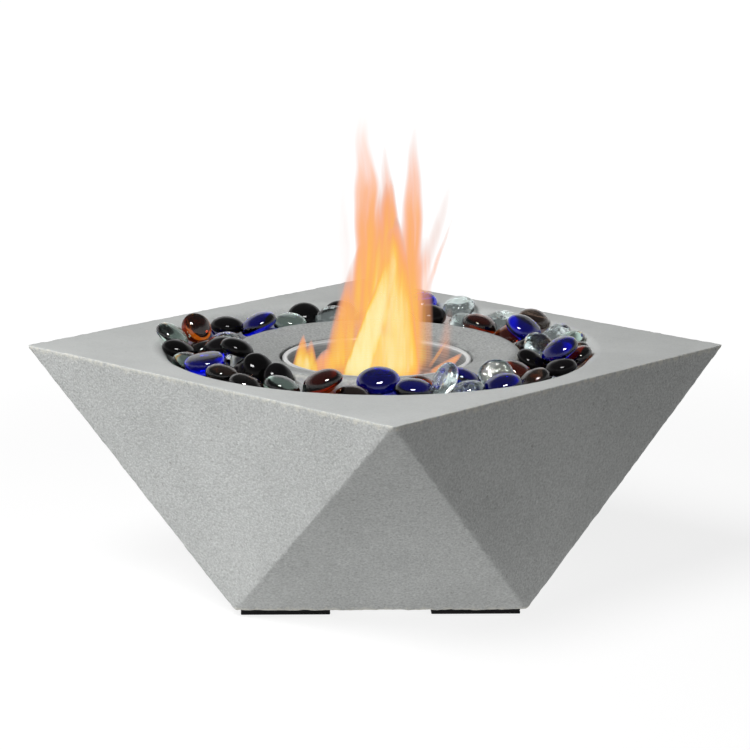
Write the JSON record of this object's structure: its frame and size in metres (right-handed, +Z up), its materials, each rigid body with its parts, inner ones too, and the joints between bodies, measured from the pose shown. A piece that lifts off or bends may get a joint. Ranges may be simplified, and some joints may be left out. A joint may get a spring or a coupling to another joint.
{
  "type": "tabletop alcohol fire pit",
  "caption": "Faceted concrete tabletop fire pit with a lift-out steel cup for liquid alcohol fuel, set in a moat of loose glass pebbles, standing on foam pads.",
  "frame": {"origin": "under the middle of the part, on the surface that its four foam pads stand on", "axes": "+Z up, the front faces -Y; the square top's corners lie on the X and Y axes, and the square base's edges run along X and Y"},
  "size_m": [0.359, 0.359, 0.1346],
  "materials": {
    "concrete": "matte cast light grey concrete with a fine sandy face",
    "steel": "spun stainless steel with a bright rolled rim",
    "foam": "black closed-cell foam",
    "cobalt_glass": "glossy deep blue glass",
    "black_glass": "glossy opaque black glass",
    "amber_glass": "glossy brown amber glass",
    "smoke_glass": "glossy smoky grey-brown glass",
    "clear_glass": "glossy clear glass",
    "aqua_glass": "glossy pale blue-green glass"
  },
  "bodies": {
    "pit": {"concrete_body": "concrete", "front_left_foot": "foam", "front_right_foot": "foam", "back_left_foot": "foam", "back_right_foot": "foam", "cobalt_pebbles_inner": "cobalt_glass", "cobalt_pebbles_outer": "cobalt_glass", "cobalt_pebbles_heap": "cobalt_glass", "black_pebbles_inner": "black_glass", "black_pebbles_outer": "black_glass", "black_pebbles_heap": "black_glass", "amber_pebbles_inner": "amber_glass", "amber_pebbles_outer": "amber_glass", "amber_pebbles_heap": "amber_glass", "smoke_pebbles_inner": "smoke_glass", "smoke_pebbles_outer": "smoke_glass", "smoke_pebbles_heap": "smoke_glass", "clear_pebbles_inner": "clear_glass", "clear_pebbles_outer": "clear_glass", "clear_pebbles_heap": "clear_glass", "aqua_pebbles_inner": "aqua_glass", "aqua_pebbles_outer": "aqua_glass", "aqua_pebbles_heap": "aqua_glass"},
    "cup": {"fuel_cup": "steel"}
  },
  "joints": [
    {"name": "cup_lift", "type": "slide", "parent": "pit", "child": "cup", "axis": [0, 0, 1], "range_m": [0, 0.07]}
  ]
}
